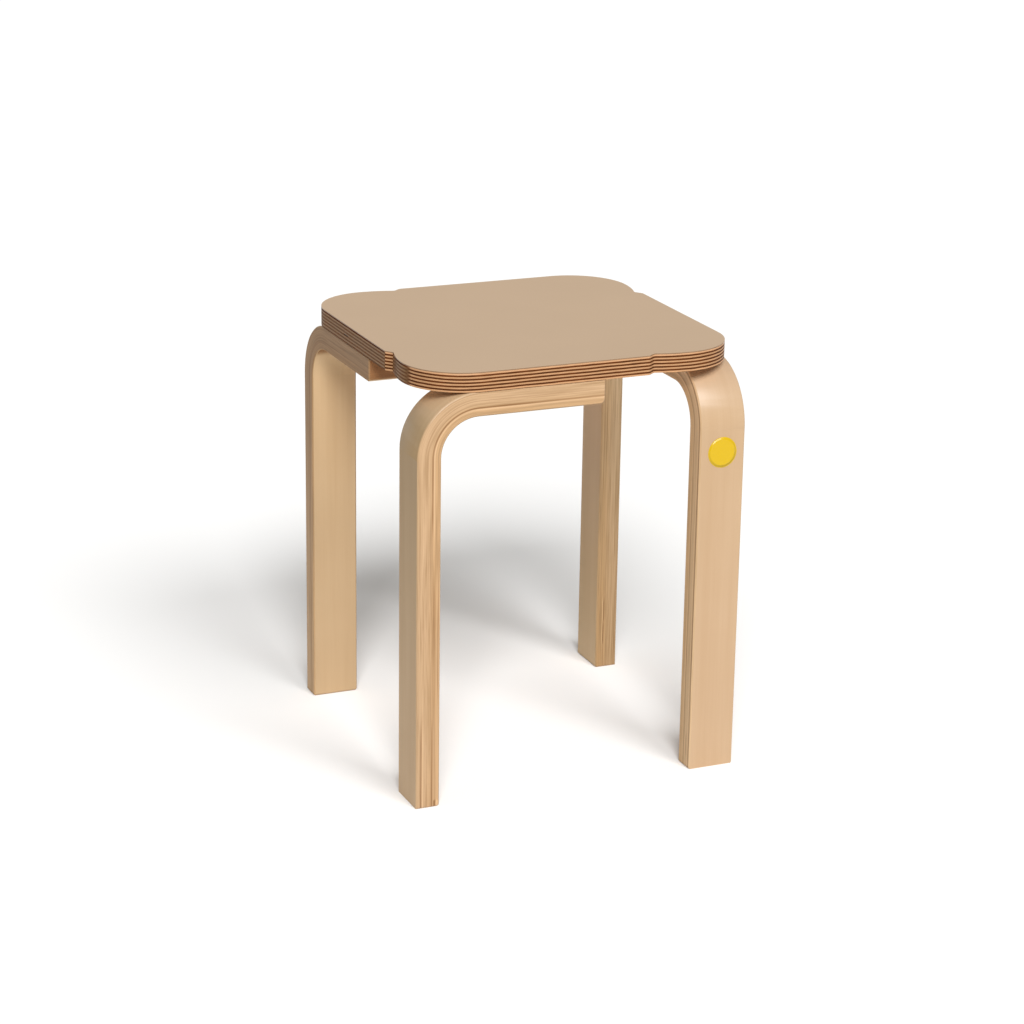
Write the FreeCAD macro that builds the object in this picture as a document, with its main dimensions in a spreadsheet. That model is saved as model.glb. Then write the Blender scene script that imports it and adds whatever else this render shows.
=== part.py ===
import FreeCAD, Part
import math
import os
import Sketcher
from FreeCAD import Vector

# A stacking stool for children. Four bent laminated legs stand in a pinwheel under a square plywood seat:
# each leg rises at one corner, bends inward and runs along one side of the seat as a flat arm.
# Millimetres, +Z up, the origin on the floor under the middle of the seat, the front side facing -Y.

# Driving dimensions: name, value, meaning.
SIZES = [
    ("seat_height", 350.0, "floor to the top of the seat"),
    ("seat_width", 270.0, "square seat, across its straight sides"),
    ("core_thickness", 14.7, "birch plywood of eleven plies, sold as 15"),
    ("laminate_thickness", 0.8, "laminate on top of the plywood"),
    ("corner_radius", 48.0, "rounding of the seat's corners"),
    ("relief_position", 58.5, "middle of a side to the deepest point of its relief"),
    ("relief_depth", 4.5, "how far the relief cuts into the side"),
    ("relief_ramp", 8.0, "length of the ramp into the relief, along the side"),
    ("relief_radius", 3.5, "rounding at both ends of the ramp"),
    ("leg_span", 280.0, "across the outer faces of opposite legs"),
    ("leg_width", 39.0, "wide face of a leg"),
    ("leg_thickness", 19.5, "thirteen veneers of 1.5"),
    ("leg_setback", 0.5, "arm's side behind the side of the seat"),
    ("bend_radius", 50.0, "outside of the bend"),
    ("arm_overrun", 15.0, "arm's end past the middle of the stool"),
    ("arm_end_radius", 4.0, "lower corner of the arm's end"),
    ("foot_radius", 2.0, "inner corner of the foot"),
    ("arris", 1.0, "eased long edges of a leg"),
    ("screw_length", 30.0, "countersunk wood screw"),
    ("screw_diameter", 5.0, "over the thread"),
    ("screw_head", 10.0, "across the screw's head"),
    ("screw_inset", 24.0, "arm's end to its first screw"),
    ("screw_spacing", 56.0, "between the two screws of an arm"),
    ("sticker_diameter", 25.0, "round sticker on the front right leg"),
    ("sticker_thickness", 0.2, "printed film"),
    ("sticker_height", 267.0, "floor to the middle of the sticker"),
]

# Sizes that follow from the driving ones: name, formula, meaning.
DERIVED = [
    ("half_side", "=seat_width / 2", "middle of the seat to a side"),
    ("core_top", "=seat_height - laminate_thickness", "top of the plywood"),
    ("arm_top", "=core_top - core_thickness", "underside of the seat, which lies on the arms"),
    ("arm_bottom", "=arm_top - leg_thickness", "underside of the arms"),
    ("corner_centre", "=half_side - corner_radius", "middle of a corner's rounding"),
    ("leg_outer", "=leg_span / 2", "outer face of a leg"),
    ("leg_side", "=half_side - leg_setback", "outer side of a leg and its arm"),
    ("bend_centre", "=leg_outer - bend_radius", "middle of the bend, sideways"),
    ("bend_height", "=arm_top - bend_radius", "middle of the bend, above the floor"),
    ("bend_inside", "=bend_radius - leg_thickness", "inside of the bend"),
    ("arm_middle", "=leg_side - leg_width / 2", "middle line of an arm"),
    ("screw_line", "=arm_overrun - screw_inset", "first screw from the middle of the stool"),
]

QUARTER_TURNS = 4
LEG_NODES = ("leg_front_left", "leg_front_right", "leg_back_right", "leg_back_left")
SCREWS_PER_ARM = 2
COUNTERSINK_ANGLE = 90
SAME_PLACE = 1e-6
START = 1
END = 2
CENTRE = 3

document = FreeCAD.newDocument("stacking_stool")


def make_sheet():
    """Write the driving and the derived sizes into the document's spreadsheet."""
    page = document.addObject("Spreadsheet::Sheet", "sizes")
    rows = [(name, str(value), meaning) for name, value, meaning in SIZES] + DERIVED
    for number, (name, content, meaning) in enumerate(rows, start=1):
        page.set(f"A{number}", name)
        page.set(f"B{number}", content)
        page.set(f"C{number}", meaning)
        page.setAlias(f"B{number}", name)
    document.recompute()
    return page


sheet = make_sheet()


def size(name):
    """Value of one size, for a sketch's starting geometry."""
    return float(sheet.get(name))


def origin_feature(body, role):
    """Origin plane or axis of a body, found by its role."""
    return next(feature for feature in body.Origin.OriginFeatures if feature.Role == role)


def new_body(node, turns=0):
    """Empty body for one node, turned by quarter turns about the stool's axis."""
    body = document.addObject("PartDesign::Body", node)
    body.Label = node
    body.Placement = FreeCAD.Placement(Vector(), FreeCAD.Rotation(Vector(0, 0, 1), 90 * turns))
    return body


def new_sketch(body, name, plane, offset=None):
    """Sketch on an origin plane; the expression offset lifts it along the plane's normal."""
    sketch = body.newObject("Sketcher::SketchObject", name)
    sketch.AttachmentSupport = [(origin_feature(body, plane), "")]
    sketch.MapMode = "FlatFace"
    if offset:
        sketch.setExpression("AttachmentOffset.Base.z", offset)
    return sketch


def line(sketch, start, end):
    """Straight stretch of an outline; returns its number."""
    return sketch.addGeometry(Part.LineSegment(Vector(*start), Vector(*end)))


def arc(sketch, centre, radius, start, end):
    """Arc about a centre between two angles in degrees, counter-clockwise; returns its number."""
    circle = Part.Circle(Vector(*centre), Vector(0, 0, 1), radius)
    return sketch.addGeometry(Part.ArcOfCircle(circle, math.radians(start), math.radians(end)))


def relate(sketch, kind, *places):
    """Geometric constraint such as Horizontal, Tangent or Coincident."""
    sketch.addConstraint(Sketcher.Constraint(kind, *places))


def measure(sketch, kind, places, value, expression):
    """Dimensional constraint that follows an expression on the sheet's sizes."""
    number = sketch.addConstraint(Sketcher.Constraint(kind, *places, value))
    sketch.setExpression(f"Constraints[{number}]", expression)


def repeat_round(body, features, name):
    """Repeat features at the four quarter turns and make the pattern the body's result."""
    pattern = body.newObject("PartDesign::PolarPattern", name)
    pattern.Originals = features
    pattern.Axis = (origin_feature(body, "Z_Axis"), [""])
    pattern.Angle = 360
    pattern.Occurrences = QUARTER_TURNS
    body.Tip = pattern
    document.recompute()
    return pattern


def sketch_seat_quarter(body, offset):
    """Outline of the seat's front left quarter, with the relief before its rounded corner."""
    half = size("half_side")
    radius = size("corner_radius")
    rounding = size("relief_radius")
    centre = size("corner_centre")
    depth = size("relief_depth")
    dip = size("relief_position")
    ramp_start = dip - size("relief_ramp")
    reach = centre - dip
    flank = (reach * reach + depth * depth - 2 * rounding * depth) / (2 * depth)
    ease_in = Vector(rounding - half, -ramp_start)
    ease_out = Vector(depth - rounding - half, -dip)
    across = ease_out - ease_in
    slope = math.degrees(math.atan2(across.y, across.x) - math.acos(2 * rounding / across.Length))
    turn = math.degrees(math.atan2(reach, flank - depth + rounding))

    def on_circle(middle, distance, angle):
        return (middle.x + distance * math.cos(math.radians(angle)),
                middle.y + distance * math.sin(math.radians(angle)))

    sketch = new_sketch(body, "seat_quarter", "XY_Plane", offset)
    middle_edge = line(sketch, (0, 0), (-half, 0))
    side = line(sketch, (-half, 0), (-half, -ramp_start))
    shoulder = arc(sketch, tuple(ease_in), rounding, 180, slope + 360)
    ramp_from = on_circle(ease_in, rounding, slope)
    ramp_to = on_circle(ease_out, rounding, slope + 180)
    ramp = line(sketch, ramp_from, ramp_to)
    hollow = arc(sketch, tuple(ease_out), rounding, -turn, slope + 180)
    bulge = arc(sketch, (flank - half, -centre), flank, 180 - turn, 180)
    corner = arc(sketch, (-centre, -centre), radius, 180, 270)
    front = line(sketch, (-centre, -half), (0, -half))
    close = line(sketch, (0, -half), (0, 0))

    relate(sketch, "Coincident", middle_edge, START, -1, START)
    relate(sketch, "Coincident", middle_edge, END, side, START)
    relate(sketch, "Horizontal", middle_edge)
    relate(sketch, "Vertical", side)
    relate(sketch, "Tangent", side, END, shoulder, START)
    relate(sketch, "Tangent", shoulder, END, ramp, START)
    relate(sketch, "Tangent", ramp, END, hollow, END)
    relate(sketch, "Tangent", hollow, START, bulge, START)
    relate(sketch, "Coincident", bulge, END, corner, START)
    relate(sketch, "Horizontal", bulge, CENTRE, corner, CENTRE)
    relate(sketch, "Horizontal", corner, CENTRE, corner, START)
    relate(sketch, "Tangent", corner, END, front, START)
    relate(sketch, "Horizontal", front)
    relate(sketch, "Coincident", front, END, close, START)
    relate(sketch, "Coincident", close, END, -1, START)
    relate(sketch, "Vertical", close)
    measure(sketch, "DistanceX", (-1, START, side, START), -half, "-sizes.half_side")
    measure(sketch, "Radius", (corner,), radius, "sizes.corner_radius")
    measure(sketch, "DistanceX", (-1, START, corner, CENTRE), -centre, "-sizes.corner_centre")
    measure(sketch, "DistanceY", (-1, START, corner, CENTRE), -centre, "-sizes.corner_centre")
    measure(sketch, "Radius", (shoulder,), rounding, "sizes.relief_radius")
    measure(sketch, "Radius", (hollow,), rounding, "sizes.relief_radius")
    measure(sketch, "DistanceY", (-1, START, shoulder, CENTRE), -ramp_start,
            "-(sizes.relief_position - sizes.relief_ramp)")
    measure(sketch, "DistanceX", (-1, START, hollow, CENTRE), depth - rounding - half,
            "sizes.relief_depth - sizes.relief_radius - sizes.half_side")
    measure(sketch, "DistanceY", (-1, START, hollow, CENTRE), -dip, "-sizes.relief_position")
    return sketch


def make_seat_layer(node, bottom, thickness):
    """One layer of the seat: a quarter of the outline, padded and repeated round the middle."""
    body = new_body(node)
    sketch = sketch_seat_quarter(body, bottom)
    pad = body.newObject("PartDesign::Pad", "quarter")
    pad.Profile = sketch
    pad.setExpression("Length", thickness)
    document.recompute()
    repeat_round(body, [pad], "whole_seat")
    return body


def screw_place(place):
    """Expression for one screw's distance from the middle of the stool, along the front left arm."""
    return f"sizes.screw_line - {place} * sizes.screw_spacing"


def sketch_screw_centres(body, height):
    """Circles of the two screws of the front left arm, seen from above."""
    sketch = new_sketch(body, "screw_holes", "XY_Plane", height)
    for place in range(SCREWS_PER_ARM):
        centre = Vector(size("screw_line") - place * size("screw_spacing"), -size("arm_middle"))
        circle = sketch.addGeometry(Part.Circle(centre, Vector(0, 0, 1), size("screw_diameter") / 2))
        measure(sketch, "Diameter", (circle,), size("screw_diameter"), "sizes.screw_diameter")
        measure(sketch, "DistanceX", (-1, START, circle, CENTRE), centre.x, screw_place(place))
        measure(sketch, "DistanceY", (-1, START, circle, CENTRE), centre.y, "-sizes.arm_middle")
    return sketch


def require_cut(body, before):
    """Stop if a cut has taken nothing away."""
    if body.Shape.Volume >= before:
        raise ValueError(f"{body.Label}: a cut misses the solid")


def make_seat_core():
    """Plywood board with a blind hole for each screw."""
    core = make_seat_layer("seat_core", "sizes.arm_top", "sizes.core_thickness")
    sketch = sketch_screw_centres(core, "sizes.arm_top")
    before = core.Shape.Volume
    pocket = core.newObject("PartDesign::Pocket", "screw_bore")
    pocket.Profile = sketch
    pocket.Reversed = True
    pocket.setExpression("Length", "sizes.screw_length - sizes.leg_thickness")
    document.recompute()
    require_cut(core, before)
    repeat_round(core, [pocket], "screw_bores")
    return core


def sketch_leg_side(body):
    """Side view of a leg: foot, bend and arm, on the leg's outer side."""
    outer = size("leg_outer")
    inner = outer - size("leg_thickness")
    arm_top = size("arm_top")
    arm_bottom = size("arm_bottom")
    bend_x = size("bend_centre")
    bend_z = size("bend_height")
    tip = size("arm_overrun")
    end_radius = size("arm_end_radius")
    foot_radius = size("foot_radius")

    sketch = new_sketch(body, "leg_side", "XZ_Plane", "sizes.leg_side")
    outside = line(sketch, (-outer, 0), (-outer, bend_z))
    bend_out = arc(sketch, (-bend_x, bend_z), size("bend_radius"), 90, 180)
    top = line(sketch, (-bend_x, arm_top), (tip, arm_top))
    end = line(sketch, (tip, arm_top), (tip, arm_bottom + end_radius))
    end_round = arc(sketch, (tip - end_radius, arm_bottom + end_radius), end_radius, 270, 360)
    under = line(sketch, (tip - end_radius, arm_bottom), (-bend_x, arm_bottom))
    bend_in = arc(sketch, (-bend_x, bend_z), size("bend_inside"), 90, 180)
    inside = line(sketch, (-inner, bend_z), (-inner, foot_radius))
    foot_round = arc(sketch, (-inner - foot_radius, foot_radius), foot_radius, 270, 360)
    foot = line(sketch, (-inner - foot_radius, 0), (-outer, 0))

    relate(sketch, "Vertical", outside)
    relate(sketch, "Tangent", outside, END, bend_out, END)
    relate(sketch, "Tangent", bend_out, START, top, START)
    relate(sketch, "Horizontal", top)
    relate(sketch, "Coincident", top, END, end, START)
    relate(sketch, "Vertical", end)
    relate(sketch, "Tangent", end, END, end_round, END)
    relate(sketch, "Tangent", end_round, START, under, START)
    relate(sketch, "Horizontal", under)
    relate(sketch, "Tangent", under, END, bend_in, START)
    relate(sketch, "Coincident", bend_in, CENTRE, bend_out, CENTRE)
    relate(sketch, "Tangent", bend_in, END, inside, START)
    relate(sketch, "Vertical", inside)
    relate(sketch, "Tangent", inside, END, foot_round, END)
    relate(sketch, "Tangent", foot_round, START, foot, START)
    relate(sketch, "Horizontal", foot)
    relate(sketch, "Coincident", foot, END, outside, START)
    relate(sketch, "PointOnObject", outside, START, -1)
    measure(sketch, "DistanceX", (-1, START, outside, START), -outer, "-sizes.leg_outer")
    measure(sketch, "Radius", (bend_out,), size("bend_radius"), "sizes.bend_radius")
    measure(sketch, "Radius", (bend_in,), size("bend_inside"), "sizes.bend_inside")
    measure(sketch, "DistanceY", (-1, START, top, START), arm_top, "sizes.arm_top")
    measure(sketch, "DistanceX", (-1, START, top, END), tip, "sizes.arm_overrun")
    measure(sketch, "Radius", (end_round,), end_radius, "sizes.arm_end_radius")
    measure(sketch, "Radius", (foot_round,), foot_radius, "sizes.foot_radius")
    return sketch


def ease_long_edges(body):
    """Break the edges along both sides of the leg."""
    base = body.Tip
    sides = (-size("leg_side"), size("leg_width") - size("leg_side"))
    edges = []
    for number, edge in enumerate(base.Shape.Edges, start=1):
        depths = [point.y for point in edge.discretize(3)]
        if any(all(abs(depth - side) < SAME_PLACE for depth in depths) for side in sides):
            edges.append(f"Edge{number}")
    chamfer = body.newObject("PartDesign::Chamfer", "arrises")
    chamfer.Base = (base, edges)
    chamfer.setExpression("Size", "sizes.arris")
    body.Tip = chamfer
    document.recompute()


def drill_arm(body):
    """Two countersunk holes up through the arm, on its middle line."""
    sketch = sketch_screw_centres(body, "sizes.arm_bottom")
    before = body.Shape.Volume
    hole = body.newObject("PartDesign::Hole", "countersunk_holes")
    hole.Profile = sketch
    hole.Reversed = True
    hole.DepthType = "ThroughAll"
    hole.HoleCutType = "Countersink"
    hole.HoleCutCustomValues = True
    hole.HoleCutCountersinkAngle = COUNTERSINK_ANGLE
    hole.setExpression("Diameter", "sizes.screw_diameter")
    hole.setExpression("HoleCutDiameter", "sizes.screw_head")
    body.Tip = hole
    document.recompute()
    require_cut(body, before)


def make_leg(node, turns):
    """Bent laminated leg with its arm, drilled for two countersunk screws."""
    body = new_body(node, turns)
    sketch = sketch_leg_side(body)
    pad = body.newObject("PartDesign::Pad", "leg_blank")
    pad.Profile = sketch
    pad.Reversed = True
    pad.setExpression("Length", "sizes.leg_width")
    body.Tip = pad
    document.recompute()
    ease_long_edges(body)
    drill_arm(body)
    return body


def sketch_screw_half(body, place):
    """Half section of a countersunk screw to the right of its axis, from its head upward."""
    head = size("screw_head") / 2
    shank = size("screw_diameter") / 2
    length = size("screw_length")
    sketch = new_sketch(body, "screw_half", "XZ_Plane", "sizes.arm_middle")
    sketch.setExpression("AttachmentOffset.Base.x", screw_place(place))
    sketch.setExpression("AttachmentOffset.Base.y", "sizes.arm_bottom")
    corners = [(0, 0), (head, 0), (shank, head - shank), (shank, length), (0, length)]
    following = corners[1:] + corners[:1]
    edges = [line(sketch, start, end) for start, end in zip(corners, following)]
    face, cone, thread, point, axis = edges
    for edge, after in zip(edges, edges[1:] + edges[:1]):
        relate(sketch, "Coincident", edge, END, after, START)
    relate(sketch, "Coincident", face, START, -1, START)
    relate(sketch, "Horizontal", face)
    relate(sketch, "Vertical", thread)
    relate(sketch, "Horizontal", point)
    relate(sketch, "Vertical", axis)
    measure(sketch, "DistanceX", (face, START, face, END), head, "sizes.screw_head / 2")
    measure(sketch, "DistanceX", (-1, START, thread, START), shank, "sizes.screw_diameter / 2")
    measure(sketch, "DistanceY", (-1, START, thread, START), head - shank,
            "(sizes.screw_head - sizes.screw_diameter) / 2")
    measure(sketch, "DistanceY", (-1, START, thread, END), length, "sizes.screw_length")
    return sketch


def make_screws():
    """Two wood screws under each arm, up into the seat, as separate solids of one node."""
    body = new_body("leg_screws")
    body.AllowCompound = True
    screws = []
    for place in range(SCREWS_PER_ARM):
        half = sketch_screw_half(body, place)
        screw = body.newObject("PartDesign::Revolution", "screw")
        screw.Profile = half
        screw.ReferenceAxis = (half, ["V_Axis"])
        screw.Angle = 360
        document.recompute()
        screws.append(screw)
    repeat_round(body, screws, "all_screws")
    return body


def make_sticker():
    """Plain round sticker on the outer face of the front right leg, in the middle of its width."""
    body = new_body("round_sticker")
    sketch = new_sketch(body, "sticker_outline", "XZ_Plane", "sizes.leg_outer")
    centre = Vector(size("arm_middle"), size("sticker_height"))
    radius = size("sticker_diameter") / 2
    circle = sketch.addGeometry(Part.Circle(centre, Vector(0, 0, 1), radius))
    measure(sketch, "Diameter", (circle,), 2 * radius, "sizes.sticker_diameter")
    measure(sketch, "DistanceX", (-1, START, circle, CENTRE), centre.x, "sizes.arm_middle")
    measure(sketch, "DistanceY", (-1, START, circle, CENTRE), centre.y, "sizes.sticker_height")
    pad = body.newObject("PartDesign::Pad", "film")
    pad.Profile = sketch
    pad.setExpression("Length", "sizes.sticker_thickness")
    document.recompute()
    return body


def check_document(nodes):
    """Stop unless every feature was made and every node has a valid shape."""
    failed = [item.Name for item in document.Objects if {"Invalid", "Error"} & set(item.State)]
    failed += [node.Label for node in nodes if node.Shape.isNull() or not node.Shape.isValid()]
    if failed:
        raise ValueError(f"failed: {failed}")


def main():
    nodes = [make_seat_core()]
    nodes.append(make_seat_layer("seat_top_laminate", "sizes.core_top", "sizes.laminate_thickness"))
    nodes += [make_leg(node, turns) for turns, node in enumerate(LEG_NODES)]
    nodes += [make_screws(), make_sticker()]
    document.recompute()
    check_document(nodes)
    os.makedirs("parts", exist_ok=True)
    for node in nodes:
        node.Shape.exportStep(f"parts/{node.Label}.step")
        print(f"{node.Label}: {len(node.Shape.Solids)} solids, {node.Shape.Volume / 1000:.1f} cm3")


main()
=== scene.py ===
import math
from collections import namedtuple

import bmesh
import bpy
from mathutils import Matrix, Vector
from mathutils.geometry import tessellate_polygon


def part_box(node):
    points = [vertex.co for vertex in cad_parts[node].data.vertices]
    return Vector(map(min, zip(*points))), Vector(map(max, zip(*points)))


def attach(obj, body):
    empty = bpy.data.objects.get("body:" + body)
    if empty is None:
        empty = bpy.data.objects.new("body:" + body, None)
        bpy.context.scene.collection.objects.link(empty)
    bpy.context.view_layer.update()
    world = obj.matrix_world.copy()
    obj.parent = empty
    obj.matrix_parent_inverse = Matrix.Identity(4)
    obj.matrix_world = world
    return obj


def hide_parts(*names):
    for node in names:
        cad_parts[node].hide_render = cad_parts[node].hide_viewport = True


# Finishes, fine detail and a studio for a stacking stool: a laminated plywood seat on four bent legs.
# Metres, +Z up, the origin on the floor under the middle of the seat, the front side facing -Y.

bl_info = {
    "name": "Stacking stool",
    "version": (1, 0, 0),
    "blender": (4, 5, 0),
    "location": "View3D > Sidebar > Stool",
    "description": "Dresses a bentwood stacking stool and sets it in a plain studio",
    "category": "Object",
}

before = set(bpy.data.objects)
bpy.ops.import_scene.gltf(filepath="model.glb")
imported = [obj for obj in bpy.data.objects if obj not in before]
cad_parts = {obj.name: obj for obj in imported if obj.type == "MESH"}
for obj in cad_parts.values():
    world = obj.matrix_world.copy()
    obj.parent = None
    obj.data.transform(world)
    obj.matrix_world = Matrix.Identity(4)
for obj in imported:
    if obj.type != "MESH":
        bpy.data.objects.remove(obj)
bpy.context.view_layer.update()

MM = 0.001
LEG_NODES = ("leg_front_left", "leg_front_right", "leg_back_right", "leg_back_left")
LEG_LOW, LEG_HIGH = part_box("leg_front_left")
CORE_LOW, CORE_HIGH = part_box("seat_core")
SCREW_LOW, SCREW_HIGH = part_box("leg_screws")
STICKER_LOW, STICKER_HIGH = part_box("round_sticker")

# Dark lines between the veneers of each leg: share of the thickness from the outer face, start and end
# along the leg from its foot, width (all three in millimetres), and darkness.
LEG_LINES = (
    ((0.645, 225, 470, 1.30, 0.85), (0.71, -20, 190, 3.40, 0.36), (0.66, -20, 75, 1.40, 0.75),
     (0.20, -20, 68, 1.30, 0.80), (0.90, 95, 185, 0.80, 0.70), (0.78, 0, 6, 2.00, 0.98),
     (0.36, 300, 470, 0.70, 0.25)),
    ((0.12, -20, 470, 1.90, 0.70), (0.57, -20, 470, 1.50, 0.55), (0.37, 9, 28, 0.90, 0.80)),
    ((0.66, 43, 64, 0.90, 0.95), (0.67, 22, 42, 0.90, 0.95), (0.67, -20, 22, 0.70, 0.40),
     (0.84, 150, 330, 0.80, 0.40), (0.72, 180, 330, 0.70, 0.40), (0.56, 150, 260, 0.60, 0.25)),
    ((0.66, -20, 360, 2.60, 0.45), (0.40, 250, 470, 0.90, 0.35), (0.62, 300, 470, 1.10, 0.45)),
)
# Painted light and shade of each leg, multiplied into the wood of its upright faces: its edges at the foot
# and at the arm, then its faces at the foot and at the arm.
LEG_PAINTED_LIGHT = (
    ((1.08, 1.09, 1.08), (1.19, 1.21, 1.21), (1.04, 1.06, 1.04), (0.68, 0.66, 0.52)),
    ((1.36, 1.45, 1.45), (1.33, 1.36, 1.30), (0.98, 0.98, 1.01), (0.97, 0.97, 0.97)),
    ((0.86, 0.86, 0.79), (1.42, 1.58, 1.66), (1.05, 1.10, 1.07), (1.20, 1.10, 0.98)),
    ((1.15, 1.18, 1.16), (0.66, 0.60, 0.50), (0.92, 0.93, 0.89), (1.25, 1.28, 1.22)),
)
# A gap in one of the board's inner veneers, on its left edge, coloured near black as painted shade inside
# it.
CORE_GAP = Vector((-135.0, 36.5, 341.2)) * MM
GAP_LENGTH = 10 * MM
GAP_HEIGHT = 0.9 * MM
GAP_FADE = 1.2 * MM
# How far the board's veneers waver up and down.
PLY_WAVER = 0.5 * MM
# Length of a leg, from its foot, over which its painted light and shade change.
PAINTED_LIGHT_REACH = 370 * MM

# What the finishes know at a point of a surface: the point and the way it faces, the cut of the board's
# edge, the point's place along and across a leg, and the leg's veneer there.
Spot = namedtuple("Spot", "x y z facing_x facing_y facing_z")
BoardCut = namedtuple("BoardCut", "end_grain left_right streak pores seam gap")
LegSpot = namedtuple("LegSpot", "across along depth in_arm")
Veneer = namedtuple("Veneer", "number tone seam")


# Shader building

class Value:
    """One output of a shader node; sums and products of values and numbers add Math nodes."""

    def __init__(self, shader, socket):
        self.shader = shader
        self.socket = socket

    def math(self, operation, *others):
        inputs = dict(enumerate((self, *others)))
        return self.shader.add("ShaderNodeMath", {"operation": operation}, inputs)["Value"]

    def __add__(self, other):
        return self.math("ADD", other)

    def __sub__(self, other):
        return self.math("SUBTRACT", other)

    def __mul__(self, other):
        return self.math("MULTIPLY", other)

    def __truediv__(self, other):
        return self.math("DIVIDE", other)

    def __rsub__(self, other):
        return self.shader.add("ShaderNodeMath", {"operation": "SUBTRACT"}, {0: other, 1: self})["Value"]

    def __rtruediv__(self, other):
        return self.shader.add("ShaderNodeMath", {"operation": "DIVIDE"}, {0: other, 1: self})["Value"]

    def __neg__(self):
        return self * -1

    def __abs__(self):
        return self.math("ABSOLUTE")

    __radd__ = __add__
    __rmul__ = __mul__

    def above(self, edge):
        return self.math("GREATER_THAN", edge)

    def at_least(self, other):
        return self.math("MAXIMUM", other)

    def at_most(self, other):
        return self.math("MINIMUM", other)

    def fraction(self):
        return self.math("FRACT")

    def floor(self):
        return self.math("FLOOR")

    def ramp(self, start, end, low=0.0, high=1.0):
        """Smooth step from low at start to high at end."""
        settings = {"interpolation_type": "SMOOTHSTEP"}
        inputs = {"Value": self, "From Min": start, "From Max": end, "To Min": low, "To Max": high}
        return self.shader.add("ShaderNodeMapRange", settings, inputs)["Result"]

    def band(self, centre, width):
        """1 near a centre, fading to 0 at the sides of a band."""
        return abs(self - centre).ramp(width * 0.25, width * 0.75, 1.0, 0.0)

    def between(self, start, end, fade):
        """1 from start to end, fading to 0 outside."""
        return self.ramp(start - fade, start + fade) * self.ramp(end - fade, end + fade, 1.0, 0.0)


class Shader:
    """A material's node tree, ending in one Principled shader."""

    def __init__(self, name):
        self.material = bpy.data.materials.new(name)
        self.material.use_nodes = True
        self.tree = self.material.node_tree
        self.tree.nodes.clear()
        self.surface = self.tree.nodes.new("ShaderNodeBsdfPrincipled")
        output = self.tree.nodes.new("ShaderNodeOutputMaterial")
        self.tree.links.new(self.surface.outputs["BSDF"], output.inputs["Surface"])

    def add(self, kind, settings=None, inputs=None):
        """Add a node of a kind; returns its outputs by identifier."""
        node = self.tree.nodes.new(kind)
        for name, value in (settings or {}).items():
            setattr(node, name, value)
        for key, value in (inputs or {}).items():
            self.feed(self.find(node.inputs, key), value)
        return {socket.identifier: Value(self, socket) for socket in node.outputs}

    @staticmethod
    def find(sockets, key):
        if isinstance(key, int):
            return sockets[key]
        return next(socket for socket in sockets if key in (socket.identifier, socket.name))

    def feed(self, socket, value):
        if isinstance(value, Value):
            self.tree.links.new(value.socket, socket)
        elif socket.type == "RGBA":
            socket.default_value = (*value[:3], 1.0)
        else:
            socket.default_value = value

    def set(self, **inputs):
        """Set the Principled shader's sockets, named with underscores for spaces."""
        for key, value in inputs.items():
            self.feed(self.surface.inputs[key.replace("_", " ").title().replace("Ior", "IOR")], value)

    def place(self):
        """Position in the stool's frame, in metres."""
        return self.add("ShaderNodeTexCoord")["Object"]

    def facing(self):
        """Direction that the surface faces, in the stool's frame."""
        return self.add("ShaderNodeTexCoord")["Normal"]

    def spot(self, angle=0.0):
        """Position and direction faced, turned by an angle about the stool's upright axis."""
        place, facing = self.turned(self.place(), angle), self.turned(self.facing(), angle)
        return Spot(*self.split(place), *self.split(facing))

    def split(self, vector):
        parts = self.add("ShaderNodeSeparateXYZ", None, {"Vector": vector})
        return parts["X"], parts["Y"], parts["Z"]

    def join(self, x, y, z):
        return self.add("ShaderNodeCombineXYZ", None, {"X": x, "Y": y, "Z": z})["Vector"]

    def turned(self, vector, angle):
        """Vector turned about the stool's upright axis."""
        settings = {"rotation_type": "Z_AXIS"}
        return self.add("ShaderNodeVectorRotate", settings, {"Vector": vector, "Angle": angle})["Vector"]

    def blend(self, share, first, second):
        """Colour between two colours."""
        inputs = {"Factor_Float": share, "A_Color": first, "B_Color": second}
        return self.add("ShaderNodeMix", {"data_type": "RGBA"}, inputs)["Result_Color"]

    def tinted(self, colour, tint):
        """Product of two colours."""
        settings = {"data_type": "RGBA", "blend_type": "MULTIPLY"}
        return self.add("ShaderNodeMix", settings,
                        {"Factor_Float": 1.0, "A_Color": colour, "B_Color": tint})["Result_Color"]

    def noise(self, vector, scale, detail=2.0, roughness=0.5):
        inputs = {"Vector": vector, "Scale": scale, "Detail": detail, "Roughness": roughness}
        return self.add("ShaderNodeTexNoise", None, inputs)["Fac"]

    def chance(self, number):
        """A steady random share for each whole number."""
        return self.add("ShaderNodeTexWhiteNoise", {"noise_dimensions": "1D"}, {"W": number})["Value"]

    def bump(self, height):
        """Normal of a surface with a height in metres."""
        inputs = {"Height": height, "Strength": 1.0, "Distance": 1.0}
        return self.add("ShaderNodeBump", None, inputs)["Normal"]


def shade(colour, share):
    """A colour made darker or lighter."""
    return tuple(min(1.0, channel * share) for channel in colour)


def dress(piece, material):
    """Give a piece its material."""
    piece.data.materials.clear()
    piece.data.materials.append(material)


def soften_edges(piece, width, segments=2):
    """Small rounding on a piece's sharp edges."""
    weld = piece.modifiers.new("joined_edges", "WELD")
    weld.merge_threshold = 0.001 * MM
    bevel = piece.modifiers.new("soft_edges", "BEVEL")
    bevel.width = width
    bevel.segments = segments
    bevel.limit_method = "ANGLE"
    bevel.angle_limit = math.radians(32)
    bevel.harden_normals = True


# Sizes and colours that a user would change

def colour_property(name, description, default):
    return bpy.props.FloatVectorProperty(
        name=name, description=description, default=default, size=3, min=0.0, max=1.0, subtype="COLOR")


def length_property(name, description, default):
    return bpy.props.FloatProperty(
        name=name, description=description, default=default, min=0.0, precision=4, subtype="DISTANCE")


def angle_property(name, description, degrees):
    return bpy.props.FloatProperty(
        name=name, description=description, default=math.radians(degrees), subtype="ANGLE")


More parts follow.
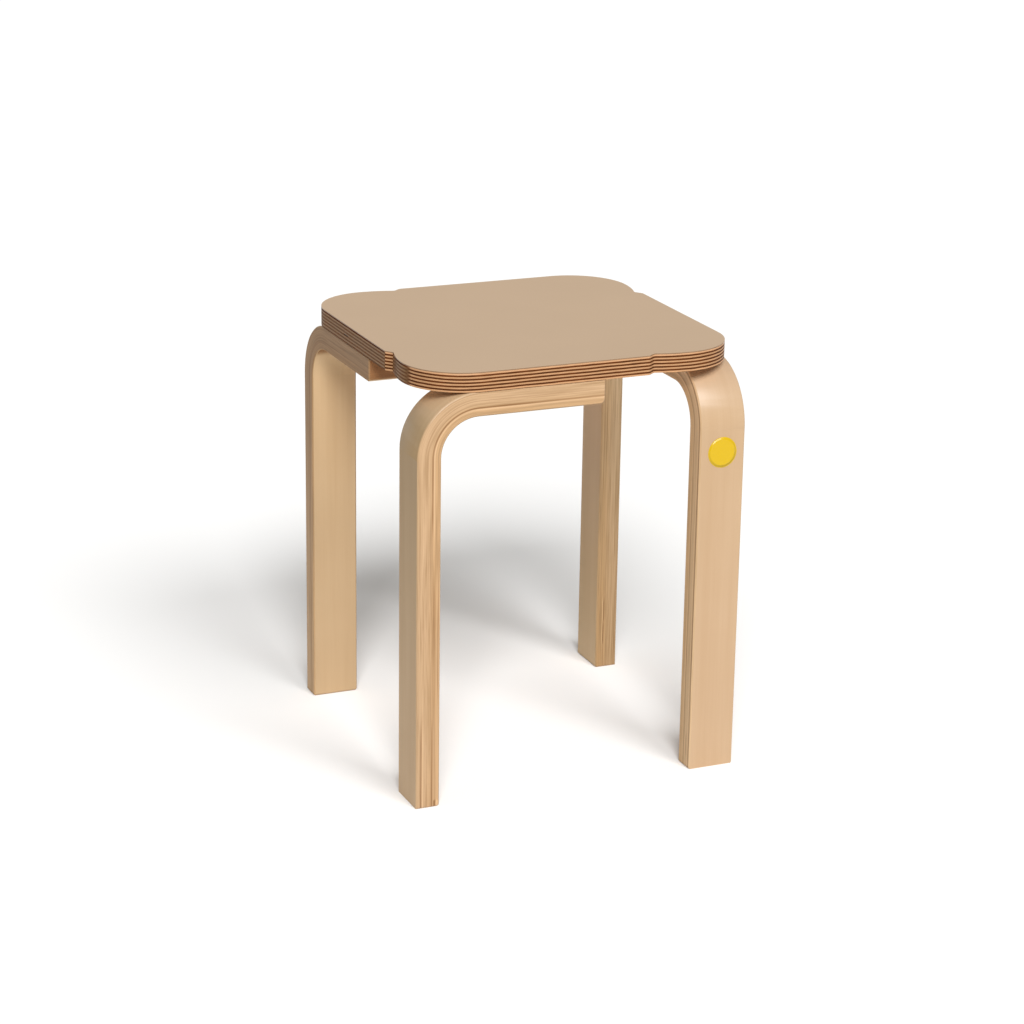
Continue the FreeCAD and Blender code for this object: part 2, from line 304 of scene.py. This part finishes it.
class SeatSettings(bpy.types.PropertyGroup):
    """Plywood seat with its laminate."""

    plies: bpy.props.IntProperty(name="Plies", description="Veneers in the board", default=11, min=3)
    laminate: colour_property("Laminate", "Top of the seat", (0.525, 0.38, 0.255))
    laminate_core: colour_property("Laminate core", "Cut edge of the laminate", (0.22, 0.125, 0.065))
    light_ply: colour_property("Light ply", "Veneer cut along its grain", (0.51, 0.28, 0.142))
    dark_ply: colour_property("Dark ply", "Veneer cut across its grain", (0.060, 0.016, 0.003))
    # Painted shade: darker, lower-contrast ply colours for the board's left and right edges; the light one
    # also colours the grain streaks everywhere.
    light_ply_shaded_and_streaked: colour_property("Light ply shaded and streaked", "Light ply on left and right", (0.22, 0.118, 0.048))
    dark_ply_shaded: colour_property("Dark ply shaded", "Dark ply on left and right", (0.098, 0.043, 0.014))
    softness: length_property("Edge", "Rounding of the laminate's edge", 0.3 * MM)
    crown: length_property("Crown", "Height lost over the edge of the top ply", 0.45 * MM)


class LegSettings(bpy.types.PropertyGroup):
    """Bent laminated legs."""

    veneers: bpy.props.IntProperty(name="Veneers", description="Layers in a leg", default=13, min=3)
    thickness: length_property("Thickness", "All the layers of a leg", 19.5 * MM)
    bend_radius: length_property("Bend", "Outside radius of the bend", 50 * MM)
    face: colour_property("Face", "Wide faces of birch veneer", (0.465, 0.32, 0.195))
    figure: colour_property("Figure", "Darker grain in the face", (0.41, 0.268, 0.15))
    edge: colour_property("Edge", "Cut edges of the outer veneers", (0.43, 0.28, 0.165))
    inner_edge: colour_property("Inner edge", "Cut edges of the inner veneers", (0.41, 0.247, 0.125))
    glue: colour_property("Glue line", "Between the veneers", (0.13, 0.052, 0.012))
    end_grain: colour_property("End grain", "Cut ends of arms and feet", (0.31, 0.15, 0.062))
    softness: length_property("Edge", "Rounding of a leg's eased edges", 0.4 * MM)


class ScrewSettings(bpy.types.PropertyGroup):
    """Countersunk wood screws."""

    first: length_property("First screw", "Middle of the stool to an arm's first screw", 9 * MM)
    spacing: length_property("Spacing", "Between the two screws of an arm", 56 * MM)
    head: length_property("Head", "Radius of the head", 5 * MM)
    shank: length_property("Shank", "Radius over the thread", 2.5 * MM)
    root: length_property("Root", "Radius at the bottom of the thread", 1.7 * MM)
    pitch: length_property("Pitch", "Rise of the thread in one turn", 2.4 * MM)
    recess: length_property("Recess", "Reach of the cross recess", 2.6 * MM)
    recess_width: length_property("Recess width", "Width of the cross recess", 1.1 * MM)
    recess_depth: length_property("Recess depth", "Depth of the cross recess", 1.9 * MM)


class StickerSettings(bpy.types.PropertyGroup):
    """Plain round sticker."""

    film: colour_property("Film", "Colour of the sticker", (0.52, 0.335, 0.004))
    bright_film: colour_property("Bright film", "Faint ripples in the film", (0.60, 0.45, 0.02))
    lift: length_property("Lift", "Height lost over the rim", 1.1 * MM)


class StageSettings(bpy.types.PropertyGroup):
    """Floor, lights and camera."""

    floor: colour_property("Floor", "Pale floor", (0.9, 0.9, 0.9))
    main_light: bpy.props.FloatProperty(name="Main light", description="Strength", default=2.75, min=0.0)
    main_round: angle_property("Main round", "Main light's angle round the stool", -20.0)
    main_up: angle_property("Main up", "Main light's angle above the floor", 39.0)
    side_light: bpy.props.FloatProperty(name="Side light", description="Strength", default=1.56, min=0.0)
    side_round: angle_property("Side round", "Side light's angle round the stool", 14.0)
    side_up: angle_property("Side up", "Side light's angle above the floor", 42.0)
    light_size: angle_property("Light size", "Angle that each soft light fills", 22.0)
    sky_strength: bpy.props.FloatProperty(
        name="Sky", description="Even light all round", default=0.29, min=0.0)
    camera_distance: length_property("Distance", "Camera to the origin", 2.403)
    camera_round: angle_property("Round", "Camera's angle round the stool", -23.48)
    camera_up: angle_property("Up", "Camera's angle above the floor", 22.26)
    camera_pan: angle_property("Pan", "Camera's turn to the right of +Y", 23.39)
    camera_tilt: angle_property("Tilt", "Camera's tilt downward", 17.99)
    camera_roll: angle_property("Roll", "Camera's turn about its view", 0.87)
    lens: bpy.props.FloatProperty(
        name="Lens", description="Focal length in millimetres on a 36 mm frame", default=99.95, min=1.0)


class StoolSettings(bpy.types.PropertyGroup):
    """Everything that a user would change."""

    seat: bpy.props.PointerProperty(type=SeatSettings)
    leg: bpy.props.PointerProperty(type=LegSettings)
    screw: bpy.props.PointerProperty(type=ScrewSettings)
    sticker: bpy.props.PointerProperty(type=StickerSettings)
    stage: bpy.props.PointerProperty(type=StageSettings)


# Finishes

def board_layer(shader, spot, plies):
    """Height in the board, in veneers from its underside; the veneers waver a little."""
    ply = (CORE_HIGH.z - CORE_LOW.z) / plies
    waver = shader.noise(shader.join(spot.x, spot.y, spot.z * 3), 55.0, 2.0)
    return (spot.z - CORE_LOW.z + (waver - 0.5) * PLY_WAVER) / ply


def cut_of_board(shader, spot, layer):
    """Grain, seams and the one gap of the board's edge; the grain turns from ply to ply."""
    odd = (layer.floor() * 0.5).fraction() * 2
    left_right = abs(spot.facing_x).ramp(0.95, 0.99)
    front_back = abs(spot.facing_y).ramp(0.08, 0.26)
    gap_here = spot.z.band(CORE_GAP.z, GAP_HEIGHT) * (-spot.facing_x).above(0.9)
    gap_reach = spot.y.between(CORE_GAP.y - GAP_LENGTH / 2, CORE_GAP.y + GAP_LENGTH / 2, GAP_FADE)
    return BoardCut(
        end_grain=(1 - odd) * left_right + odd * front_back,
        left_right=left_right,
        streak=shader.noise(shader.join(spot.x * 110, spot.y * 110, spot.z * 2600), 1.0, 3.0, 0.6),
        pores=shader.noise(shader.join(spot.x * 1500, spot.y * 1500, spot.z * 1500), 1.0, 2.0, 0.7),
        seam=abs(layer.fraction() - 0.5).ramp(0.40, 0.5),
        gap=gap_here * gap_reach)


def board_edge(shader, spot, settings, layer, cut):
    """Colour of the board's edge: pale along the grain, dark across it, and painted shade on the left and
    right, where darker, lower-contrast copies of the ply colours stand in for shade.
    """
    number = layer.floor()
    drift = shader.noise(shader.join(spot.x * 45, spot.y * 45, number * 3.7), 1.0, 2.0, 0.6)
    # Painted shade: the left and right edges take darker, lower-contrast ply colours.
    light = shader.blend(cut.left_right, settings.light_ply, settings.light_ply_shaded_and_streaked)
    light = shader.blend(cut.streak.ramp(0.35, 0.75) * 0.4 + shader.chance(number + 3.5) * 0.2, light,
                         shade(settings.light_ply_shaded_and_streaked, 0.85))
    below_top = 1 - layer.above(settings.plies - 1.0)
    dark = shader.blend(cut.left_right * below_top, settings.dark_ply, settings.dark_ply_shaded)
    dark = shader.blend(drift.ramp(0.35, 0.7) * 0.3 + cut.pores.ramp(0.45, 0.8) * 0.12, dark,
                        shade(settings.dark_ply, 3.2))
    wood = shader.blend(cut.end_grain, light, dark)
    wood = shader.blend(cut.seam * (0.15 + cut.streak * 0.3), wood, shade(settings.dark_ply, 1.5))
    # Painted shade: the gap is coloured near black for the shade inside it.
    return shader.blend(cut.gap * 0.9, wood, shade(settings.dark_ply, 0.35))


def board_underside(shader, spot, settings):
    """Colour of the birch veneer under the board, with its grain from left to right."""
    grain = shader.noise(shader.join(spot.x * 9, spot.y * 230, 0.0), 1.0, 4.0, 0.6)
    fibre = shader.noise(shader.join(spot.x * 25, spot.y * 1400, 3.0), 1.0, 3.0, 0.6)
    pale = shade(settings.light_ply, 1.15)
    return shader.blend(grain.ramp(0.35, 0.7) * 0.6 + fibre.ramp(0.4, 0.8) * 0.2, pale, shade(pale, 0.72))


def plywood_material(settings):
    """Birch plywood of the board."""
    shader = Shader("birch_plywood_edge")
    spot = shader.spot()
    layer = board_layer(shader, spot, settings.plies)
    cut = cut_of_board(shader, spot, layer)
    wood = shader.blend((-spot.facing_z).ramp(0.6, 0.9), board_edge(shader, spot, settings, layer, cut),
                        board_underside(shader, spot, settings))
    crown = layer.ramp(settings.plies - 0.95, settings.plies)
    relief = cut.streak * 0.02 + cut.pores * cut.end_grain * 0.05 - cut.seam * 0.05 - cut.gap * 0.3
    shader.set(base_color=wood, roughness=0.36 + cut.end_grain * 0.2,
               normal=shader.bump(relief * MM - crown * settings.crown))
    shader.set(specular_ior_level=0.06, coat_weight=crown * (1 - cut.left_right) * 0.5, coat_roughness=0.3)
    return shader.material


def laminate_material(settings):
    """Beige laminate with a fine matt texture and a brown cut edge."""
    shader = Shader("beige_laminate")
    place = shader.place()
    _, _, facing_z = shader.split(shader.facing())
    cloud = shader.noise(place, 9.0, 3.0)
    grit = shader.noise(place, 2400.0, 2.0)
    pearl = shader.noise(place, 420.0, 4.0, 0.6)
    top = shader.blend(cloud.ramp(0.3, 0.7) * 0.5, settings.laminate, shade(settings.laminate, 0.95))
    top = shader.blend(grit.ramp(0.45, 0.75) * 0.12, top, shade(settings.laminate, 0.8))
    side = 1 - abs(facing_z).ramp(0.35, 0.75)
    cut = shader.blend(pearl.ramp(0.35, 0.65) * 0.3, settings.laminate_core,
                       shade(settings.laminate_core, 0.7))
    shader.set(base_color=shader.blend(side, top, cut), roughness=0.42 + pearl * 0.12 - side * 0.12,
               normal=shader.bump((grit * 0.6 + pearl * 0.4) * (0.006 * MM)))
    return shader.material


def leg_spot(settings, spot):
    """Where a point lies in a leg that is turned to the front left."""
    centre_x = LEG_LOW.x + settings.bend_radius
    centre_z = LEG_HIGH.z - settings.bend_radius
    from_bend = spot.x - centre_x
    inward = from_bend.at_most(0.0)
    upward = (spot.z - centre_z).at_least(0.0)
    bent = upward.math("ARCTAN2", -inward) * (settings.bend_radius - settings.thickness / 2)
    return LegSpot(
        across=spot.y,
        along=spot.z.at_most(centre_z) + bent + from_bend.at_least(0.0),
        depth=settings.bend_radius - (inward * inward + upward * upward).math("SQRT"),
        in_arm=from_bend.above(0.0))


def leg_face(shader, settings, place, turns):
    """Birch veneer of a leg's wide faces; returns its colour, its fibres and its flecks."""
    sheet = place.depth.ramp(0.0, settings.thickness, 0.0, 40.0)
    fine = shader.noise(
        shader.join(place.across * 700, place.along * 11 + turns * 3.1, sheet), 1.0, 4.0, 0.6)
    broad = shader.noise(
        shader.join(place.across * 60, place.along * 2.6 + turns * 7.7, sheet), 1.0, 3.0, 0.55)
    fleck = shader.noise(
        shader.join(place.across * 2400, place.along * 170 + turns, sheet), 1.0, 2.0, 0.6)
    face = shader.blend(broad.ramp(0.35, 0.72) * 0.55 + fine.ramp(0.42, 0.8) * 0.25, settings.face,
                        settings.figure)
    return shader.blend(fleck.ramp(0.62, 0.8) * 0.18, face, shade(settings.figure, 0.7)), fine, fleck


def leg_lines(place, thickness, broken, lines):
    """Dark lines between a leg's veneers, and the pale lines beside them."""
    dark = pale = 0.0
    for share, start, end, width, darkness in lines:
        middle, breadth = share * thickness, width * MM
        fade = min(16.0, (end - start) / 5) * MM
        reach = place.along.between(start * MM, end * MM, fade) * (darkness * (0.65 + broken * 0.35))
        dark = (place.depth.band(middle, breadth) * reach).at_least(dark)
        pale = (place.depth.band(middle + breadth * 1.1, breadth) * reach).at_least(pale)
    return dark, pale


def leg_edge(shader, settings, place, veneer, turns):
    """Cut edges of a leg's veneers; returns their colour and the dark lines between them."""
    streak = shader.noise(shader.join(place.depth * 650, place.along * 16 + turns * 5, veneer.number),
                          1.0, 3.0, 0.6)
    edge = shader.blend(place.depth.ramp(0.35 * settings.thickness, 0.8 * settings.thickness), settings.edge,
                        settings.inner_edge)
    edge = shader.blend(veneer.tone * 0.3 + streak.ramp(0.4, 0.65) * 0.7, edge,
                        shade(settings.inner_edge, 0.66))
    broken = shader.noise(shader.join(place.along * 18, veneer.number * 5.3, turns * 2.0), 1.0, 2.0)
    broken = broken.ramp(0.35, 0.65)
    dark, pale = leg_lines(place, settings.thickness, broken, LEG_LINES[turns])
    line = (veneer.seam * broken * 0.16).at_least(dark)
    edge = shader.blend(pale * 0.8, edge, shade(settings.edge, 1.25))
    return shader.blend(line, edge, settings.glue), line


def leg_ends(shader, settings, veneer, pores):
    """End grain of an arm's end and of a foot."""
    wood = shader.blend(pores.ramp(0.35, 0.7) * 0.5 + veneer.tone * 0.2, settings.end_grain,
                        shade(settings.end_grain, 0.6))
    return shader.blend(veneer.seam * 0.35, wood, settings.glue)


def leg_painted_light(shader, place, upright, side, turns):
    """Painted light and shade of a leg on its upright faces, from its foot to its arm."""
    edge_foot, edge_arm, face_foot, face_arm = LEG_PAINTED_LIGHT[turns]
    rise = place.along.ramp(0.0, PAINTED_LIGHT_REACH) * upright
    return shader.blend(side, shader.blend(rise, face_foot, face_arm),
                        shader.blend(rise, edge_foot, edge_arm))


def leg_material(settings, turns):
    """Bent laminated birch: grain and veneers follow the leg through its bend and along its arm."""
    shader = Shader(LEG_NODES[turns] + "_birch")
    spot = shader.spot(-math.radians(90 * turns))
    place = leg_spot(settings, spot)
    layer = place.depth / (settings.thickness / settings.veneers)
    veneer = Veneer(number=layer.floor(), tone=shader.chance(layer.floor() + 0.5 + 20 * turns),
                    seam=abs(layer.fraction() - 0.5).ramp(0.42, 0.5))
    laid = shader.join(place.across + turns * 1.7, place.along, place.depth)
    pores = shader.noise(laid, 1300.0, 2.0, 0.7)
    cloud = shader.noise(laid, 14.0, 2.0).ramp(0.3, 0.7)
    face, fine, fleck = leg_face(shader, settings, place, turns)
    edge, line = leg_edge(shader, settings, place, veneer, turns)

    side = abs(spot.facing_y).ramp(0.45, 0.85)
    ends = (place.in_arm * abs(spot.facing_x).ramp(0.6, 0.9)
            + (1 - place.in_arm) * (-spot.facing_z).ramp(0.6, 0.9))
    wood = shader.blend(cloud * 0.25, shader.blend(side, face, edge), settings.figure)
    # Painted light and shade: each leg's upright faces are made lighter or darker from foot to arm, its
    # edges and faces apart.
    wood = shader.tinted(wood, leg_painted_light(shader, place, 1 - spot.facing_z.ramp(0.35, 0.85), side, turns))
    wood = shader.blend(ends.at_most(1.0), wood, leg_ends(shader, settings, veneer, pores))
    relief = fine * 0.010 + fleck * 0.004 - line * side * 0.04 + pores * ends * 0.03
    shader.set(base_color=wood, roughness=0.36 + fine * 0.10 + side * 0.08, normal=shader.bump(relief * MM))
    shader.set(specular_ior_level=0.12, coat_weight=0.04 + spot.facing_z.ramp(0.08, 0.5) * 0.96,
               coat_roughness=0.38)
    return shader.material


def steel_material():
    """Zinc-plated steel of the screws."""
    shader = Shader("zinc_steel")
    mottle = shader.noise(shader.place(), 900.0, 3.0)
    colour = shader.blend(mottle, (0.50, 0.51, 0.52), (0.68, 0.68, 0.66))
    shader.set(base_color=colour, metallic=1.0, roughness=0.28 + mottle * 0.18,
               normal=shader.bump(mottle * (0.01 * MM)))
    return shader.material


def sticker_material(settings):
    """Glossy plastic film, rolled over at its cut rim."""
    shader = Shader("yellow_film")
    place = shader.place()
    x, _, z = shader.split(place)
    centre = (STICKER_LOW + STICKER_HIGH) / 2
    radius = (STICKER_HIGH.x - STICKER_LOW.x) / 2
    across = x - centre.x
    up = z - centre.z
    rim = ((across * across + up * up).math("SQRT") / radius).ramp(0.82, 1.0)
    ripple = shader.noise(place, 260.0, 2.0)
    shader.set(base_color=shader.blend(ripple * 0.08, settings.film, settings.bright_film),
               roughness=0.16 + ripple * 0.1,
               normal=shader.bump(ripple * (0.008 * MM) - rim * settings.lift))
    shader.set(specular_ior_level=0.3, coat_weight=0.05, coat_roughness=0.12)
    return shader.material


def floor_material(colour):
    """Matt paper sweep."""
    shader = Shader("paper_sweep")
    grain = shader.noise(shader.place(), 60.0, 2.0)
    shader.set(base_color=shader.blend(grain * 0.2, colour, shade(colour, 0.995)), roughness=0.9,
               specular_ior_level=0.0)
    return shader.material


# Screws

def ring(mesh, height, radius_at, points=24):
    """One ring of a screw, with a radius for each point round it."""
    angles = [2 * math.pi * number / points for number in range(points)]
    return [mesh.verts.new((radius_at(angle) * math.cos(angle), radius_at(angle) * math.sin(angle), height))
            for angle in angles]


def join_rings(mesh, low, high):
    """Faces between two rings."""
    for number, corner in enumerate(low):
        following = (number + 1) % len(low)
        mesh.faces.new((corner, low[following], high[following], high[number]))


def cross_outline(reach, width, height):
    """Twelve corners of a cross recess."""
    quarter = ((reach, -width / 2), (reach, width / 2), (width / 2, width / 2))
    return [Matrix.Rotation(math.radians(90 * number), 3, "Z") @ Vector((*corner, height))
            for number in range(4) for corner in quarter]


def fill_between(mesh, *outlines):
    """Flat face inside the first outline and outside the second."""
    corners = [corner for outline in outlines for corner in outline]
    for triangle in tessellate_polygon([[corner.co for corner in outline] for outline in outlines]):
        mesh.faces.new([corners[number] for number in triangle])


def thread_radius(settings, height, angle, start):
    """Radius of a screw at a height and an angle, on a sharp rising thread."""
    phase = ((height - start) / settings.pitch - angle / (2 * math.pi)) % 1.0
    crest = max(0.0, 1 - abs(phase - 0.5) * 4.5)
    return settings.root + (settings.shank - settings.root) * crest


def build_screw(settings, length):
    """Countersunk screw pointing up from its head, with a cross recess and a thread."""
    mesh = bmesh.new()
    neck = settings.head - settings.root
    face = ring(mesh, 0.0, lambda angle: settings.head - 0.25 * MM)
    rings = [face, ring(mesh, 0.2 * MM, lambda angle: settings.head),
             ring(mesh, neck, lambda angle: settings.root)]
    step = settings.pitch / 8
    tip = length - 2.2 * settings.shank
    height = neck + step
    while height < length:
        slim = min(1.0, (length - height) / (length - tip))
        rings.append(ring(mesh, height, lambda angle: slim * thread_radius(settings, height, angle, neck)))
        height += step
    for low, high in zip(rings, rings[1:]):
        join_rings(mesh, low, high)
    point = mesh.verts.new((0, 0, length))
    for number, corner in enumerate(rings[-1]):
        mesh.faces.new((corner, rings[-1][(number + 1) % len(face)], point))
    rim = [mesh.verts.new(place) for place in cross_outline(settings.recess, settings.recess_width, 0.0)]
    floor = [mesh.verts.new(place) for place in
             cross_outline(settings.recess * 0.5, settings.recess_width * 0.7, settings.recess_depth)]
    fill_between(mesh, face, rim)
    join_rings(mesh, rim, floor)
    fill_between(mesh, floor)
    bmesh.ops.recalc_face_normals(mesh, faces=mesh.faces)
    return mesh


# Operators

class StoolOperator:
    """Shared by the operators: what they act on and what they read."""

    bl_options = {"REGISTER", "UNDO"}

    @staticmethod
    def node(name):
        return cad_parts[name]


class STOOL_OT_seat_core(StoolOperator, bpy.types.Operator):
    """Give the seat's board its plywood edge"""

    bl_idname = "stool.seat_core"
    bl_label = "Plywood seat"

    def execute(self, context):
        dress(self.node("seat_core"), plywood_material(context.scene.stool.seat))
        return {"FINISHED"}


class STOOL_OT_seat_laminate(StoolOperator, bpy.types.Operator):
    """Give the seat's top its laminate"""

    bl_idname = "stool.seat_laminate"
    bl_label = "Seat laminate"

    def execute(self, context):
        settings = context.scene.stool.seat
        top = self.node("seat_top_laminate")
        dress(top, laminate_material(settings))
        soften_edges(top, settings.softness)
        return {"FINISHED"}


class STOOL_OT_legs(StoolOperator, bpy.types.Operator):
    """Give the four legs their birch veneers"""

    bl_idname = "stool.legs"
    bl_label = "Bent legs"

    def execute(self, context):
        settings = context.scene.stool.leg
        for turns, name in enumerate(LEG_NODES):
            leg = self.node(name)
            dress(leg, leg_material(settings, turns))
            soften_edges(leg, settings.softness)
        return {"FINISHED"}


class STOOL_OT_screws(StoolOperator, bpy.types.Operator):
    """Put two threaded screws up through each arm"""

    bl_idname = "stool.screws"
    bl_label = "Screws"

    def execute(self, context):
        settings = context.scene.stool.screw
        screw = build_screw(settings, SCREW_HIGH.z - SCREW_LOW.z)
        mesh = bpy.data.meshes.new("wood_screws")
        screw.to_mesh(mesh)
        screw.clear()
        row = SCREW_LOW.y + settings.head
        for turns in range(4):
            for place in range(2):
                spot = Vector((-settings.first - place * settings.spacing, row, SCREW_LOW.z))
                before = len(screw.verts)
                screw.from_mesh(mesh)
                screw.verts.ensure_lookup_table()
                turn = Matrix.Rotation(math.radians(90 * turns), 4, "Z") @ Matrix.Translation(spot)
                bmesh.ops.transform(screw, matrix=turn, verts=screw.verts[before:])
        screw.to_mesh(mesh)
        screw.free()
        mesh.shade_smooth()
        mesh.set_sharp_from_angle(angle=math.radians(40))
        piece = bpy.data.objects.new("wood_screws", mesh)
        context.scene.collection.objects.link(piece)
        mesh.materials.append(steel_material())
        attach(piece, "root")
        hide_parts("leg_screws")
        return {"FINISHED"}


class STOOL_OT_sticker(StoolOperator, bpy.types.Operator):
    """Finish the plain sticker on the front right leg"""

    bl_idname = "stool.sticker"
    bl_label = "Sticker"

    def execute(self, context):
        dress(self.node("round_sticker"), sticker_material(context.scene.stool.sticker))
        return {"FINISHED"}


def outward(angle_round, angle_up):
    """Direction from the stool at an angle round it from the front, and an angle above the floor."""
    level = math.cos(angle_up)
    return Vector((level * math.sin(angle_round), -level * math.cos(angle_round), math.sin(angle_up)))


def add_soft_light(name, strength, toward, size):
    """Even soft light from far off, from one direction."""
    lamp = bpy.data.lights.new(name, "SUN")
    lamp.energy = strength
    lamp.angle = size
    holder = bpy.data.objects.new(name, lamp)
    holder.rotation_euler = toward.to_track_quat("Z", "Y").to_euler()
    bpy.context.scene.collection.objects.link(holder)


def add_sky(strength):
    """Even, slightly warm light all round, behind a plain white backdrop."""
    world = bpy.data.worlds.new("studio")
    world.use_nodes = True
    nodes, links = world.node_tree.nodes, world.node_tree.links
    sky = nodes["Background"]
    sky.inputs["Color"].default_value = (1.0, 0.985, 0.94, 1.0)
    sky.inputs["Strength"].default_value = strength
    backdrop = nodes.new("ShaderNodeBackground")
    backdrop.inputs["Color"].default_value = (1.0, 1.0, 1.0, 1.0)
    seen = nodes.new("ShaderNodeMixShader")
    links.new(nodes.new("ShaderNodeLightPath").outputs["Is Camera Ray"], seen.inputs["Fac"])
    links.new(sky.outputs["Background"], seen.inputs[1])
    links.new(backdrop.outputs["Background"], seen.inputs[2])
    links.new(seen.outputs["Shader"], nodes["World Output"].inputs["Surface"])
    bpy.context.scene.world = world


def add_floor(colour):
    """Wide flat floor under the feet."""
    reach = 30.0
    mesh = bpy.data.meshes.new("floor")
    mesh.from_pydata([(-reach, -reach, 0), (reach, -reach, 0), (reach, reach, 0), (-reach, reach, 0)],
                     [], [(0, 1, 2, 3)])
    floor = bpy.data.objects.new("floor", mesh)
    mesh.materials.append(floor_material(colour))
    bpy.context.scene.collection.objects.link(floor)


def add_camera(settings):
    """Camera at the photograph's angle."""
    lens = bpy.data.cameras.new("camera")
    lens.lens = settings.lens
    lens.sensor_width = 36.0
    lens.clip_start = 0.05
    lens.clip_end = 100.0
    camera = bpy.data.objects.new("camera", lens)
    aim = (Matrix.Rotation(-settings.camera_pan, 3, "Z")
           @ Matrix.Rotation(math.radians(90) - settings.camera_tilt, 3, "X")
           @ Matrix.Rotation(settings.camera_roll, 3, "Z"))
    place = settings.camera_distance * outward(settings.camera_round, settings.camera_up)
    camera.matrix_world = Matrix.Translation(place) @ aim.to_4x4()
    bpy.context.scene.collection.objects.link(camera)
    bpy.context.scene.camera = camera


class STOOL_OT_stage(StoolOperator, bpy.types.Operator):
    """Add the floor, the studio light and the camera"""

    bl_idname = "stool.stage"
    bl_label = "Studio"

    def execute(self, context):
        settings = context.scene.stool.stage
        add_floor(settings.floor)
        add_sky(settings.sky_strength)
        add_soft_light("main_light", settings.main_light,
                       outward(settings.main_round, settings.main_up), settings.light_size)
        add_soft_light("side_light", settings.side_light,
                       outward(settings.side_round, settings.side_up), settings.light_size)
        context.scene.view_settings.view_transform = "Standard"
        add_camera(settings)
        return {"FINISHED"}


class STOOL_PT_panel(bpy.types.Panel):
    """Lists the stool's pieces and their settings"""

    bl_idname = "STOOL_PT_panel"
    bl_label = "Stacking stool"
    bl_space_type = "VIEW_3D"
    bl_region_type = "UI"
    bl_category = "Stool"

    def draw(self, context):
        stool = context.scene.stool
        for title, settings, operators in (
            ("Seat", stool.seat, (STOOL_OT_seat_core, STOOL_OT_seat_laminate)),
            ("Legs", stool.leg, (STOOL_OT_legs,)),
            ("Screws", stool.screw, (STOOL_OT_screws,)),
            ("Sticker", stool.sticker, (STOOL_OT_sticker,)),
            ("Studio", stool.stage, (STOOL_OT_stage,)),
        ):
            box = self.layout.box()
            box.label(text=title)
            for name in settings.__annotations__:
                box.prop(settings, name)
            for operator in operators:
                box.operator(operator.bl_idname)


SETTINGS_CLASSES = (SeatSettings, LegSettings, ScrewSettings, StickerSettings, StageSettings, StoolSettings)
OPERATOR_CLASSES = (STOOL_OT_seat_core, STOOL_OT_seat_laminate, STOOL_OT_legs, STOOL_OT_screws,
                    STOOL_OT_sticker, STOOL_OT_stage)


def register():
    for cls in (*SETTINGS_CLASSES, *OPERATOR_CLASSES, STOOL_PT_panel):
        bpy.utils.register_class(cls)
    bpy.types.Scene.stool = bpy.props.PointerProperty(type=StoolSettings)


def unregister():
    del bpy.types.Scene.stool
    for cls in reversed((*SETTINGS_CLASSES, *OPERATOR_CLASSES, STOOL_PT_panel)):
        bpy.utils.unregister_class(cls)


def main():
    register()
    for cls in OPERATOR_CLASSES:
        family, action = cls.bl_idname.split(".")
        getattr(getattr(bpy.ops, family), action)()


if __name__ == "__main__":
    main()
